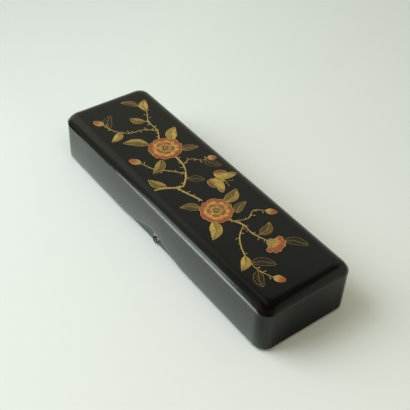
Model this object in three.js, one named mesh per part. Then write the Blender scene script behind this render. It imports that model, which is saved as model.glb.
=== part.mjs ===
// Long Japanese-style lacquer letter box (fubako): a shallow rectangular body with rounded
// corners, covered almost to the floor by a deep slip-over lid with a rounded shoulder and a
// slightly crowned top. The long skirts of the lid are cut in a low arch over a small ring
// fitting on each long side of the body.
//
// Millimetres, +Z up. X runs along the long side, Y across, and -Y is the front.
// The origin is the centre of the body's underside.
import * as THREE from 'three';

// ---- driving dimensions ---------------------------------------------------------------
const LENGTH = 300;            // outside of the lid, along X
const WIDTH = 90.5;             // outside of the lid, along Y
const LID_CORNER_R = 11;       // plan radius of the lid's outside corners
const LID_WALL = 2.6;          // thickness of the lid's skirt
const LID_EDGE_Z = 3.0;        // lower edge of the skirt above the floor
const ARRIS_Z = 41.5;          // sharp edge between skirt and shoulder; underside of the top
const SHOULDER_TILT = 30;      // degrees that the shoulder leans in where it leaves the skirt
const SHOULDER_ARC = 15;       // length of the shoulder's section from the sharp edge to level
const SHOULDER_TIGHTEN = 0.55; // how fast the plan corners tighten over the shoulder
const CROWN = 0.5;             // rise of the top from the shoulder to the middle
const SLIP = 0.4;              // clearance between skirt and body, all round

const BODY_WALL = 3.0;
const BOTTOM_THICK = 4.0;
const BODY_LENGTH = LENGTH - 2 * (LID_WALL + SLIP);   // 294
const BODY_WIDTH = WIDTH - 2 * (LID_WALL + SLIP);     // 84.5
const BODY_CORNER_R = LID_CORNER_R - LID_WALL - SLIP; // 8

const ARCH_HALF = 51;          // half width of the arch in the long skirts
const ARCH_PEAK = 6.5;         // narrow part of the arch's rise
const ARCH_BASE = 5.0;         // broad part of the arch's rise
const ARCH_PEAK_W = 19.5;      // width parameter of the narrow part

const FRONT_FIT_X = 3.2;       // the front fitting sits a little right of the middle
const BACK_FIT_X = 0;
const FIT_Z = 8.2;             // height of both fittings on the body
const ROSETTE_R = 4.3;
const ROSETTE_SCALLOP = 0.35;
const ROSETTE_THICK = 0.5;
const ROSETTE_PETALS = 12;
const EYE_WIRE_R = 0.3;        // split pin of doubled wire
const EYE_LOOP_R = 1.0;        // centre line of its loop
const EYE_OUT = 1.7;           // loop centre in front of the body's face
const LEG_GAP = 0.4;           // half distance between the two legs
const LEG_SPREAD = 2.3;        // clinched length of each leg inside
const SLOT_HALF_X = 0.45;
const SLOT_HALF_Z = 0.85;
const RING_WIRE_R = 0.45;
const RING_R = 3.05;           // centre line of the ring
const WASHER_R = 2.7;
const WASHER_THICK = 0.4;

// ---- colours --------------------------------------------------------------------------
const BLACK = { color: 0x17181a, roughness: 0.22, metalness: 0.0 };
const INNER = { color: 0x1c1a19, roughness: 0.45, metalness: 0.0 };
const GILT = { color: 0xb9a877, roughness: 0.38, metalness: 1.0 };
const DARK = { color: 0x3a332b, roughness: 0.42, metalness: 1.0 };

const mesh = (name, geometry, look) => {
  const m = new THREE.Mesh(geometry, new THREE.MeshStandardMaterial(look));
  m.name = name;
  return m;
};

// ---- outlines -------------------------------------------------------------------------
// Rise of the arch above the skirt's lower edge.
const archRise = (x) => {
  const a = Math.abs(x);
  if (a >= ARCH_HALF) return 0;
  const broad = (1 - (a / ARCH_HALF) ** 2) ** 2;
  const narrow = Math.exp(-((a / ARCH_PEAK_W) ** 2)) * (1 - (a / ARCH_HALF) ** 8);
  return ARCH_PEAK * narrow + ARCH_BASE * broad;
};

// Rounded rectangle as a ring of points, anticlockwise, `n` steps in each corner.
const CORNER_STEPS = 10;
const roundedRing = (halfX, halfY, r, n = CORNER_STEPS) => {
  const pts = [];
  const corners = [
    [halfX - r, halfY - r, 0],
    [-halfX + r, halfY - r, 1],
    [-halfX + r, -halfY + r, 2],
    [halfX - r, -halfY + r, 3],
  ];
  for (const [cx, cy, q] of corners) {
    for (let i = 0; i <= n; i++) {
      const a = ((q + i / n) * Math.PI) / 2;
      pts.push([cx + r * Math.cos(a), cy + r * Math.sin(a)]);
    }
  }
  return pts;
};

// Board standing in the XZ plane: outline points (x, z), front face at yFront.
const uprightBoard = (outline, yFront, thick, hole) => {
  const shape = new THREE.Shape(outline.map(([x, z]) => new THREE.Vector2(x, z)));
  if (hole) shape.holes.push(new THREE.Path(hole.map(([x, z]) => new THREE.Vector2(x, z))));
  const g = new THREE.ExtrudeGeometry(shape, { depth: thick, bevelEnabled: false });
  g.rotateX(Math.PI / 2);                 // shape y becomes z, depth runs towards -y
  g.translate(0, yFront + thick, 0);
  return g;
};

const block = (x0, x1, y0, y1, z0, z1) => {
  const g = new THREE.BoxGeometry(x1 - x0, y1 - y0, z1 - z0);
  g.translate((x0 + x1) / 2, (y0 + y1) / 2, (z0 + z1) / 2);
  return g;
};

// Quarter-round corner block between two boards, `q` counts quadrants from +X+Y.
const cornerBlock = (cx, cy, q, rOut, rIn, z0, z1) => {
  const pts = [];
  for (let i = 0; i <= CORNER_STEPS; i++) {
    const a = ((q + i / CORNER_STEPS) * Math.PI) / 2;
    pts.push(new THREE.Vector2(cx + rOut * Math.cos(a), cy + rOut * Math.sin(a)));
  }
  for (let i = CORNER_STEPS; i >= 0; i--) {
    const a = ((q + i / CORNER_STEPS) * Math.PI) / 2;
    pts.push(new THREE.Vector2(cx + rIn * Math.cos(a), cy + rIn * Math.sin(a)));
  }
  const g = new THREE.ExtrudeGeometry(new THREE.Shape(pts), { depth: z1 - z0, bevelEnabled: false });
  g.translate(0, 0, z0);
  return g;
};

// Solid lofted through closed rings of equal point count, capped flat at both ends.
const loft = (rings) => {
  const n = rings[0].length;
  const pos = [];
  for (const ring of rings) for (const p of ring) pos.push(...p);
  const idx = [];
  for (let k = 0; k + 1 < rings.length; k++) {
    for (let i = 0; i < n; i++) {
      const a = k * n + i, b = k * n + ((i + 1) % n), c = a + n, d = b + n;
      idx.push(a, b, d, a, d, c);
    }
  }
  const cap = (k, flip) => {
    const contour = rings[k].map(([x, y]) => new THREE.Vector2(x, y));
    for (const [a, b, c] of THREE.ShapeUtils.triangulateShape(contour, [])) {
      if (flip) idx.push(k * n + a, k * n + c, k * n + b);
      else idx.push(k * n + a, k * n + b, k * n + c);
    }
  };
  cap(0, true);
  cap(rings.length - 1, false);
  const g = new THREE.BufferGeometry();
  g.setAttribute('position', new THREE.BufferAttribute(new Float32Array(pos), 3));
  g.setIndex(idx);
  g.computeVertexNormals();
  return g;
};

// ---- body of the box ------------------------------------------------------------------
const hx = BODY_LENGTH / 2, hy = BODY_WIDTH / 2;
const flatX = hx - BODY_CORNER_R, flatY = hy - BODY_CORNER_R;   // where the corners begin

const slot = (x) => [
  [x - SLOT_HALF_X, FIT_Z - SLOT_HALF_Z],
  [x - SLOT_HALF_X, FIT_Z + SLOT_HALF_Z],
  [x + SLOT_HALF_X, FIT_Z + SLOT_HALF_Z],
  [x + SLOT_HALF_X, FIT_Z - SLOT_HALF_Z],
];
const bodySide = [[-flatX, 0], [flatX, 0], [flatX, ARRIS_Z], [-flatX, ARRIS_Z]];

const body = new THREE.Group();
body.add(
  mesh('body_front_board', uprightBoard(bodySide, -hy, BODY_WALL, slot(FRONT_FIT_X)), BLACK),
  mesh('body_back_board', uprightBoard(bodySide, hy - BODY_WALL, BODY_WALL, slot(BACK_FIT_X)), BLACK),
  mesh('body_left_end_board', block(-hx, -hx + BODY_WALL, -flatY, flatY, 0, ARRIS_Z), BLACK),
  mesh('body_right_end_board', block(hx - BODY_WALL, hx, -flatY, flatY, 0, ARRIS_Z), BLACK),
);
const CORNERS = [
  ['back_right', 1, 1, 0],
  ['back_left', -1, 1, 1],
  ['front_left', -1, -1, 2],
  ['front_right', 1, -1, 3],
];
for (const [where, sx, sy, q] of CORNERS) {
  body.add(mesh(`body_corner_${where}`,
    cornerBlock(sx * flatX, sy * flatY, q, BODY_CORNER_R, BODY_CORNER_R - BODY_WALL, 0, ARRIS_Z), BLACK));
}
// The bottom board lies between the walls; its corners are eased a little.
const bottomRing = (z) => roundedRing(hx - BODY_WALL, hy - BODY_WALL, BODY_CORNER_R - BODY_WALL + 0.6)
  .map(([x, y]) => [x, y, z]);
body.add(mesh('body_bottom_board', loft([bottomRing(0), bottomRing(BOTTOM_THICK)]), INNER));

// ---- lid ------------------------------------------------------------------------------
const lx = LENGTH / 2, ly = WIDTH / 2;
const lidFlatX = lx - LID_CORNER_R, lidFlatY = ly - LID_CORNER_R;

const skirt = [[-lidFlatX, LID_EDGE_Z]];
const ARCH_STEPS = 44;
for (let i = 0; i <= ARCH_STEPS; i++) {
  const x = -ARCH_HALF + (2 * ARCH_HALF * i) / ARCH_STEPS;
  skirt.push([x, LID_EDGE_Z + archRise(x)]);
}
skirt.push([lidFlatX, LID_EDGE_Z], [lidFlatX, ARRIS_Z], [-lidFlatX, ARRIS_Z]);

const lid = new THREE.Group();
lid.add(
  mesh('lid_front_board', uprightBoard(skirt, -ly, LID_WALL), BLACK),
  mesh('lid_back_board', uprightBoard(skirt, ly - LID_WALL, LID_WALL), BLACK),
  mesh('lid_left_end_board', block(-lx, -lx + LID_WALL, -lidFlatY, lidFlatY, LID_EDGE_Z, ARRIS_Z), BLACK),
  mesh('lid_right_end_board', block(lx - LID_WALL, lx, -lidFlatY, lidFlatY, LID_EDGE_Z, ARRIS_Z), BLACK),
);
for (const [where, sx, sy, q] of CORNERS) {
  lid.add(mesh(`lid_corner_${where}`,
    cornerBlock(sx * lidFlatX, sy * lidFlatY, q, LID_CORNER_R, LID_CORNER_R - LID_WALL, LID_EDGE_Z, ARRIS_Z), BLACK));
}
// Top panel: flat underside on the skirt, rounded shoulder, slightly crowned top. The shoulder
// leans in by SHOULDER_TILT at the sharp edge and turns over smoothly to level.
const topRings = [];
const topRing = (inset, z) => topRings.push(
  roundedRing(lx - inset, ly - inset, Math.max(LID_CORNER_R - SHOULDER_TIGHTEN * inset, 3.0))
    .map(([x, y]) => [x, y, z]));
topRing(0, ARRIS_Z);
const SHOULDER_STEPS = 9;
const FINE = 40;
let inset = 0, rise = 0;
for (let i = 1; i <= SHOULDER_STEPS * FINE; i++) {
  const u = (i - 0.5) / (SHOULDER_STEPS * FINE);
  const tilt = ((SHOULDER_TILT + (90 - SHOULDER_TILT) * u * u * (3 - 2 * u)) * Math.PI) / 180;
  const ds = SHOULDER_ARC / (SHOULDER_STEPS * FINE);
  inset += ds * Math.sin(tilt);
  rise += ds * Math.cos(tilt);
  if (i % FINE === 0) topRing(inset, ARRIS_Z + rise);
}
for (const t of [0.25, 0.5, 0.8]) {
  topRing(inset + t * (ly - inset), ARRIS_Z + rise + (CROWN * (1 - (1 - t) ** 2)) / 0.96);
}
lid.add(mesh('lid_top_panel', loft(topRings), BLACK));

// ---- ring fittings --------------------------------------------------------------------
// Built for the front face; `side` -1 is the front, +1 the back.
const circleShape = (r, n) => {
  const pts = [];
  for (let i = 0; i < n; i++) {
    const a = (i / n) * 2 * Math.PI;
    pts.push(new THREE.Vector2(r * Math.cos(a), r * Math.sin(a)));
  }
  return new THREE.Shape(pts);
};

const slotPath = () => new THREE.Path([
  new THREE.Vector2(-SLOT_HALF_X, -SLOT_HALF_Z),
  new THREE.Vector2(-SLOT_HALF_X, SLOT_HALF_Z),
  new THREE.Vector2(SLOT_HALF_X, SLOT_HALF_Z),
  new THREE.Vector2(SLOT_HALF_X, -SLOT_HALF_Z),
]);

// Plate against an upright face: shape in (x, z), from y0 towards the outside or inside.
const plateOn = (shape, x, yA, yB) => {
  const g = new THREE.ExtrudeGeometry(shape, { depth: Math.abs(yB - yA), bevelEnabled: false });
  g.rotateX(Math.PI / 2);
  g.translate(x, Math.max(yA, yB), FIT_Z);
  return g;
};

const rosetteShape = () => {
  const pts = [];
  const n = ROSETTE_PETALS * 6;
  for (let i = 0; i < n; i++) {
    const a = (i / n) * 2 * Math.PI;
    const r = ROSETTE_R - ROSETTE_SCALLOP * (1 - Math.abs(Math.cos((a * ROSETTE_PETALS) / 2)));
    pts.push(new THREE.Vector2(r * Math.cos(a), r * Math.sin(a)));
  }
  const s = new THREE.Shape(pts);
  s.holes.push(slotPath());
  return s;
};

const washerShape = () => {
  const s = circleShape(WASHER_R, 28);
  s.holes.push(slotPath());
  return s;
};

class SplitPinPath extends THREE.Curve {
  constructor(points) {
    super();
    this.points = points;
    this.cum = [0];
    for (let i = 1; i < points.length; i++) this.cum.push(this.cum[i - 1] + points[i].distanceTo(points[i - 1]));
  }
  getPoint(t, target = new THREE.Vector3()) {
    const s = t * this.cum[this.cum.length - 1];
    let i = 1;
    while (i < this.cum.length - 1 && this.cum[i] < s) i++;
    const f = (s - this.cum[i - 1]) / (this.cum[i] - this.cum[i - 1]);
    return target.copy(this.points[i - 1]).lerp(this.points[i], f);
  }
}

// Doubled wire: clinched tip, leg through the wall, loop, second leg, second clinched tip.
const splitPin = (x, side) => {
  const face = side * hy;                    // outer face of the body
  const inside = face - side * (BODY_WALL + WASHER_THICK + 0.1 + EYE_WIRE_R);
  const loopY = face + side * EYE_OUT;
  const pts = [];
  const bend = 0.55;
  const P = (y, z) => pts.push(new THREE.Vector3(x, y, FIT_Z + z));
  P(inside, LEG_GAP + LEG_SPREAD);
  P(inside, LEG_GAP + bend);
  for (let i = 1; i <= 5; i++) {
    const a = (i / 5) * (Math.PI / 2);
    P(inside + side * bend * (1 - Math.cos(a)), LEG_GAP + bend * (1 - Math.sin(a)));
  }
  const a0 = Math.asin(LEG_GAP / EYE_LOOP_R);
  const steps = 22;
  for (let i = 0; i <= steps; i++) {
    const a = Math.PI - a0 - (i / steps) * 2 * (Math.PI - a0);
    P(loopY + side * EYE_LOOP_R * Math.cos(a), EYE_LOOP_R * Math.sin(a));
  }
  for (let i = 5; i >= 1; i--) {
    const a = (i / 5) * (Math.PI / 2);
    P(inside + side * bend * (1 - Math.cos(a)), -LEG_GAP - bend * (1 - Math.sin(a)));
  }
  P(inside, -LEG_GAP - bend);
  P(inside, -LEG_GAP - LEG_SPREAD);
  return new THREE.ExtrudeGeometry(circleShape(EYE_WIRE_R, 8), {
    steps: 72, bevelEnabled: false, extrudePath: new SplitPinPath(pts),
  });
};

const ringGeometry = (x, side) => {
  const g = new THREE.TorusGeometry(RING_R, RING_WIRE_R, 10, 36);
  g.rotateX(Math.PI / 2);                    // into the XZ plane
  g.translate(x, side * (hy + EYE_OUT), FIT_Z - RING_R);
  return g;
};

const fittings = new THREE.Group();
for (const [where, side, x] of [['front', -1, FRONT_FIT_X], ['back', 1, BACK_FIT_X]]) {
  const face = side * hy, back = side * (hy - BODY_WALL);
  fittings.add(
    mesh(`${where}_rosette`, plateOn(rosetteShape(), x, face, face + side * ROSETTE_THICK), GILT),
    mesh(`${where}_split_pin`, splitPin(x, side), DARK),
    mesh(`${where}_ring`, ringGeometry(x, side), DARK),
    mesh(`${where}_inner_washer`, plateOn(washerShape(), x, back, back - side * WASHER_THICK), DARK),
  );
}

const letterBox = new THREE.Group();
letterBox.add(body, lid, fittings);
export default letterBox;
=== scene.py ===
import math

import bmesh
import bpy
import numpy as np
from mathutils import Matrix, Vector


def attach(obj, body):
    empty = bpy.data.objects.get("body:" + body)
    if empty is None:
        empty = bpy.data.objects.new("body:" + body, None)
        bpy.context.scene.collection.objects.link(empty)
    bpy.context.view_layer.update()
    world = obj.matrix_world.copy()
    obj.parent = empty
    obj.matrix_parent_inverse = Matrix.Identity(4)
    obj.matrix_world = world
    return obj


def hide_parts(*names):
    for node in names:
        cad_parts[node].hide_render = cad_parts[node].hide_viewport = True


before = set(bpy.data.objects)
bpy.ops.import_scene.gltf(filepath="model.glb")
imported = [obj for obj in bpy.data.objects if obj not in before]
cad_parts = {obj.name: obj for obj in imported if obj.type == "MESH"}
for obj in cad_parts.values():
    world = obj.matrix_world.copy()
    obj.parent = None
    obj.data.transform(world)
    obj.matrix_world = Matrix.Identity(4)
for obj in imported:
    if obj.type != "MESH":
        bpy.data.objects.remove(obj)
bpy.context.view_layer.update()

# ======================================================================================
# Sizes in millimetres, the same as in the construction of the box; every mesh is written
# in metres.
# ======================================================================================
MM = 0.001
LX, LY = 150.0, 45.25         # half length and half width of the lid
LID_R = 11.0
LID_WALL = 2.6
EDGE_Z = 3.0
ARRIS_Z = 41.5
SLIP = 0.4
BODY_WALL = 3.0
BOTTOM = 4.0
BX, BY = LX - LID_WALL - SLIP, LY - LID_WALL - SLIP
BODY_R = LID_R - LID_WALL - SLIP
FLAT_X, FLAT_Y = LX - LID_R, LY - LID_R
ARCH_HALF, ARCH_PEAK, ARCH_BASE, ARCH_PEAK_W = 51.0, 6.5, 5.0, 19.5
FIT_X = {"front": 3.2, "back": 0.0}
FIT_Z = 8.2

# Shoulder: the surface leaves the arris tilted T0 degrees back from the skirt and turns
# over to level along SHOULDER_ARC millimetres.
SHOULDER_T0 = 30.0
SHOULDER_ARC = 15.0
CROWN = 0.5


def smooth(t):
    t = np.clip(t, 0.0, 1.0)
    return t * t * (3 - 2 * t)


def shoulder_table(n=400):
    s = np.linspace(0, SHOULDER_ARC, n)
    t = np.radians(SHOULDER_T0 + (90 - SHOULDER_T0) * smooth(s / SHOULDER_ARC))
    ds = s[1] - s[0]
    inset = np.concatenate([[0], np.cumsum((np.sin(t[1:]) + np.sin(t[:-1])) / 2 * ds)])
    rise = np.concatenate([[0], np.cumsum((np.cos(t[1:]) + np.cos(t[:-1])) / 2 * ds)])
    return s, inset, rise


SH_S, SH_IN, SH_UP = shoulder_table()
SH_WIDTH, SH_HEIGHT = float(SH_IN[-1]), float(SH_UP[-1])


def arch_rise(x):
    a = np.minimum(np.abs(x) / ARCH_HALF, 1.0)
    broad = (1 - a ** 2) ** 2
    narrow = np.exp(-((np.abs(x) / ARCH_PEAK_W) ** 2)) * (1 - a ** 8)
    return np.where(np.abs(x) < ARCH_HALF, ARCH_PEAK * narrow + ARCH_BASE * broad, 0.0)


def ring_radius(inset):
    """Plan corner radius of the lid's outline at a distance in from the arris."""
    return np.maximum(LID_R - 0.55 * inset, 3.0)


def crown(x, y):
    u, v = np.clip(np.abs(x) / LX, 0, 1), np.clip(np.abs(y) / LY, 0, 1)
    return CROWN * (1 - v ** 2) * (1 - u ** 4)


def inset_of(x, y):
    """Inset of the plan outline that passes through (x, y)."""
    x, y = np.abs(np.asarray(x, float)), np.abs(np.asarray(y, float))
    lo, hi = np.zeros_like(x), np.full_like(x, LY - 0.01)
    for _ in range(40):
        m = (lo + hi) / 2
        r = ring_radius(m)
        qx, qy = x - (LX - m - r), y - (LY - m - r)
        d = np.hypot(np.maximum(qx, 0), np.maximum(qy, 0)) + np.minimum(np.maximum(qx, qy), 0) - r
        inside = d < 0
        lo, hi = np.where(inside, m, lo), np.where(inside, hi, m)
    return (lo + hi) / 2


def wave(x, y, z):
    """Slight unevenness of hand-laid lacquer, in millimetres."""
    return 0.022 * (np.sin(x / 23.0 + 0.7 + 0.6 * np.sin(y / 17.0 + z / 11.0))
                    + 0.7 * np.sin(x / 41.0 - y / 13.0 + 2.1)
                    + 0.5 * np.sin(x / 11.0 + z / 9.0 + 4.0))


def top_z(x, y):
    x, y = np.asarray(x, float), np.asarray(y, float)
    i = inset_of(x, y)
    z = ARRIS_Z + np.interp(i, SH_IN, SH_UP) + crown(x, y)
    return z + wave(x, y, z) * smooth(i / 6.0)


# ======================================================================================
# Mesh helpers
# ======================================================================================
def plan_ring(half_x, half_y, r, us, vs, nc):
    """Closed rounded rectangle, anticlockwise from the +X end of the back-right corner;
    us and vs are fractions of the straight parts, nc steps turn each corner."""
    fx, fy = half_x - r, half_y - r
    pts = []

    def corner(cx, cy, q):
        for i in range(nc + 1):
            a = (q + i / nc) * math.pi / 2
            pts.append((cx + r * math.cos(a), cy + r * math.sin(a)))

    corner(fx, fy, 0)
    pts.extend((u * fx, half_y) for u in us[::-1])
    corner(-fx, fy, 1)
    pts.extend((-half_x, v * fy) for v in vs[::-1])
    corner(-fx, -fy, 2)
    pts.extend((u * fx, -half_y) for u in us)
    corner(fx, -fy, 3)
    pts.extend((half_x, v * fy) for v in vs)
    return np.array(pts)


US = np.unique(np.round(np.concatenate([
    np.linspace(-0.985, 0.985, 71), np.linspace(-52, 52, 79) / FLAT_X]), 5))
VS = np.linspace(-0.94, 0.94, 17)
NC = 14


def obj_from(name, verts, faces, smooth_shade=True):
    me = bpy.data.meshes.new(name)
    me.from_pydata([tuple(v) for v in verts], [], faces)
    me.validate()
    if smooth_shade:
        me.polygons.foreach_set("use_smooth", [True] * len(me.polygons))
    me.update()
    ob = bpy.data.objects.new(name, me)
    bpy.context.scene.collection.objects.link(ob)
    return ob


def loft(name, rings, cap_first=True, cap_last=True, flip=False):
    """rings: list of (n, 3) arrays in millimetres."""
    n = len(rings[0])
    verts = np.concatenate(rings) * MM
    faces = []
    for k in range(len(rings) - 1):
        a = np.arange(n) + k * n
        b = np.roll(np.arange(n), -1) + k * n
        for i in range(n):
            f = (int(a[i]), int(b[i]), int(b[i] + n), int(a[i] + n))
            faces.append(f[::-1] if flip else f)
    first = list(range(n))
    last = [i + (len(rings) - 1) * n for i in range(n)]
    if cap_first:
        faces.append(tuple(first if flip else first[::-1]))
    if cap_last:
        faces.append(tuple(last[::-1] if flip else last))
    return obj_from(name, verts, faces)


def with_z(ring, z):
    z = np.broadcast_to(np.asarray(z, float), (len(ring),))
    return np.column_stack([ring, z])


# ======================================================================================
# Materials
# ======================================================================================
class Nodes:
    def __init__(self, name):
        self.mat = bpy.data.materials.new(name)
        self.mat.use_nodes = True
        self.t = self.mat.node_tree
        self.t.nodes.clear()
        self.out = self.t.nodes.new("ShaderNodeOutputMaterial")
        self.bsdf = self.t.nodes.new("ShaderNodeBsdfPrincipled")
        self.t.links.new(self.bsdf.outputs[0], self.out.inputs[0])
        self.coord = self.t.nodes.new("ShaderNodeTexCoord")

    def add(self, kind, **inputs):
        n = self.t.nodes.new(kind)
        for k, v in inputs.items():
            self.set(n, k, v)
        return n

    def set(self, n, key, v):
        sock = n.inputs[int(key[1:])] if key[0] == "i" and key[1:].isdigit() else n.inputs[key.replace("_", " ")]
        if isinstance(v, bpy.types.NodeSocket):
            self.t.links.new(v, sock)
        else:
            sock.default_value = v

    def noise(self, scale, detail=2.0, rough=0.5, vector=None, distortion=0.0):
        n = self.add("ShaderNodeTexNoise", Scale=scale, Detail=detail, Roughness=rough, Distortion=distortion)
        self.t.links.new(vector or self.coord.outputs["Object"], n.inputs["Vector"])
        return n.outputs["Fac"]

    def stretch(self, sx, sy, sz):
        m = self.add("ShaderNodeMapping")
        self.t.links.new(self.coord.outputs["Object"], m.inputs["Vector"])
        m.inputs["Scale"].default_value = (sx, sy, sz)
        return m.outputs[0]

    def range(self, x, a, b, c, d, smoothstep=False):
        n = self.t.nodes.new("ShaderNodeMapRange")
        if smoothstep:
            n.interpolation_type = "SMOOTHSTEP"
        for k, v in zip(("Value", "From Min", "From Max", "To Min", "To Max"), (x, a, b, c, d)):
            self.set(n, k.replace(" ", "_"), v)
        return n.outputs[0]

    def math(self, op, a, b=0.0, clamp=False):
        n = self.t.nodes.new("ShaderNodeMath")
        n.operation = op
        n.use_clamp = clamp
        self.set(n, "i0", a)
        self.set(n, "i1", b)
        return n.outputs[0]

    def mix(self, fac, a, b):
        n = self.t.nodes.new("ShaderNodeMix")
        n.data_type = "RGBA"
        for sock, v in ((n.inputs[0], fac), (n.inputs[6], a), (n.inputs[7], b)):
            if isinstance(v, bpy.types.NodeSocket):
                self.t.links.new(v, sock)
            else:
                sock.default_value = v
        return n.outputs[2]

    def ramp(self, fac, stops):
        n = self.t.nodes.new("ShaderNodeValToRGB")
        self.t.links.new(fac, n.inputs[0])
        el = n.color_ramp.elements
        while len(el) < len(stops):
            el.new(0.5)
        for e, (p, c) in zip(el, stops):
            e.position = p
            e.color = (*c, 1)
        return n.outputs[0]

    def bump(self, height, distance, strength=1.0, normal=None):
        n = self.add("ShaderNodeBump", Height=height, Distance=distance, Strength=strength)
        if normal is not None:
            self.t.links.new(normal, n.inputs["Normal"])
        return n.outputs[0]

    def attribute(self, name):
        n = self.t.nodes.new("ShaderNodeAttribute")
        n.attribute_name = name
        return n.outputs["Fac"]


def c4(r, g, b):
    return (r, g, b, 1.0)


# painted light of the right end: a reflection on the lower shoulder, a highlight on the arris and one down the front
# corner
PAINTED_END_SHOULDER_REFLECTION = (0.0175, 0.0210, 0.0165)
PAINTED_END_ARRIS_HIGHLIGHT = (0.0275, 0.0340, 0.0260)
PAINTED_END_CORNER_HIGHLIGHT = (0.0390, 0.0420, 0.0340)
# painted light of the long front side: a reflection on the upper shoulder and a highlight on the arris
PAINTED_FRONT_SHOULDER_REFLECTION = (0.0228, 0.0243, 0.0195)
PAINTED_FRONT_ARRIS_HIGHLIGHT = (0.200, 0.213, 0.203)


def lacquer_material(name, base, rough, skirt=False):
    m = Nodes(name)
    b = m.bsdf
    sep = m.t.nodes.new("ShaderNodeSeparateXYZ")
    m.t.links.new(m.coord.outputs["Object"], sep.inputs[0])
    b.inputs["IOR"].default_value = 1.6
    cloud = m.noise(9.0, 3.0, 0.55)
    fine = m.noise(420.0, 2.0, 0.6)
    col = m.mix(m.range(cloud, 0.3, 0.7, 0.0, 1.0), c4(*base), c4(*[v * 1.5 + 0.0004 for v in base]))
    # a few specks of dust and tiny rubs
    speck = m.range(m.noise(900.0, 1.0, 0.4), 0.735, 0.78, 0.0, 0.5, smoothstep=True)
    col = m.mix(speck, col, c4(0.030, 0.026, 0.020))
    r = m.range(cloud, 0.3, 0.75, rough * 0.85, rough * 1.2)
    r = m.math("ADD", r, m.range(fine, 0.35, 0.75, -0.015, 0.03))
    if skirt:
        # the skirt gets a painted reflection of the pale floor, a greenish grey in its colour, stronger towards its
        # lower edge and to the left; its ends are worn matt
        x, z = sep.outputs[0], sep.outputs[2]
        low = m.math("POWER", m.range(m.attribute("above"), 0.0, 1.0, 1.0, 0.0), 2.2)
        left = m.range(x, -0.15, 0.12, 1.0, 0.62)
        wall = m.range(z, 0.0411, 0.0418, 1.0, 0.0)
        ends = m.range(m.math("ABSOLUTE", x), 0.1425, 0.1493, 0.0, 1.0, smoothstep=True)
        painted_reflection_haze = m.math("MULTIPLY", m.math("MULTIPLY", low, left), m.math("SUBTRACT", 1.0, ends))
        end_wall = m.math("MULTIPLY", ends, wall)
        spec = m.math("ADD", 0.5, m.math("MULTIPLY", painted_reflection_haze, 0.5))
        dull = m.range(z, 0.004, 0.036, 0.465, 0.36)
        spec = m.math("SUBTRACT", spec, m.math("MULTIPLY", end_wall, dull), clamp=True)
        # the middle of the right end is the dullest, and so is the turn into its front corner
        y = sep.outputs[1]
        mid = m.math("MULTIPLY", m.range(y, -0.036, -0.014, 0.0, 1.0, smoothstep=True),
                     m.range(y, 0.006, 0.030, 1.0, 0.0, smoothstep=True))
        mid = m.math("MULTIPLY", m.math("MULTIPLY", mid, end_wall), m.range(x, 0.10, 0.14, 0.0, 0.36))
        turn = m.math("MULTIPLY", m.range(x, 0.1345, 0.1400, 0.0, 1.0, smoothstep=True),
                      m.range(x, 0.1445, 0.1470, 0.58, 0.0, smoothstep=True))
        turn = m.math("MULTIPLY", m.math("MULTIPLY", turn, wall), m.range(y, -0.040, -0.036, 1.0, 0.0))
        spec = m.math("MULTIPLY", spec, m.math("SUBTRACT", 1.0, m.math("ADD", mid, turn)))
        # the back right corner of the shoulder hardly shines
        far = m.math("MULTIPLY", m.range(x, 0.1370, 0.1450, 0.0, 1.0, smoothstep=True),
                     m.range(y, 0.0320, 0.0400, 0.0, 0.65, smoothstep=True))
        far = m.math("MULTIPLY", far, m.range(z, 0.0425, 0.0440, 0.0, 1.0))
        spec = m.math("MULTIPLY", spec, m.math("SUBTRACT", 1.0, far))
        # the long front shoulder: its lower part shines less towards the left, and the line
        # where the gloss gives way to haze climbs slowly from right to left
        over = m.math("SUBTRACT", 1.0, wall)
        slant = m.math("SUBTRACT", y, m.math("MULTIPLY", x, 0.0123))
        lower = m.math("MULTIPLY", m.range(y, -0.0431, -0.0421, 1.0, 0.0, smoothstep=True), over)
        dim = m.math("MULTIPLY", lower, m.range(x, -0.045, 0.105, 0.54, 0.0))
        tail = m.math("MULTIPLY", m.range(y, -0.0441, -0.0433, 0.0, 0.28), m.range(x, 0.045, 0.080, 1.0, 0.0))
        tail = m.math("MULTIPLY", tail, m.range(x, -0.030, -0.005, 0.0, 1.0))
        tail = m.math("MAXIMUM", tail, m.range(x, 0.124, 0.134, 0.0, 0.40))
        dim = m.math("ADD", dim, m.math("MULTIPLY", lower, tail), clamp=True)
        dip = m.math("MULTIPLY", m.range(y, -0.0430, -0.0424, 0.0, 1.0),
                     m.range(y, -0.0406, -0.0394, 1.0, 0.0, smoothstep=True))
        dip = m.math("MULTIPLY", m.math("MULTIPLY", dip, over), m.range(x, 0.083, 0.105, 0.0, 0.42))
        spec = m.math("MULTIPLY", spec, m.math("SUBTRACT", 1.0, m.math("MAXIMUM", dim, dip)))
        under = m.math("MULTIPLY", m.range(z, 0.0384, 0.0400, 0.0, 1.0), m.range(z, 0.0418, 0.0424, 1.0, 0.0))
        under = m.math("MULTIPLY", under, m.math("MULTIPLY", m.range(x, -0.122, -0.056, 1.0, 0.0),
                                                 m.range(y, -0.040, -0.030, 1.0, 0.0)))
        spec = m.math("MULTIPLY", spec, m.math("SUBTRACT", 1.0, under))
        painted_reflection_haze = m.math("MULTIPLY", painted_reflection_haze, m.math("SUBTRACT", 1.0, under))
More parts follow.
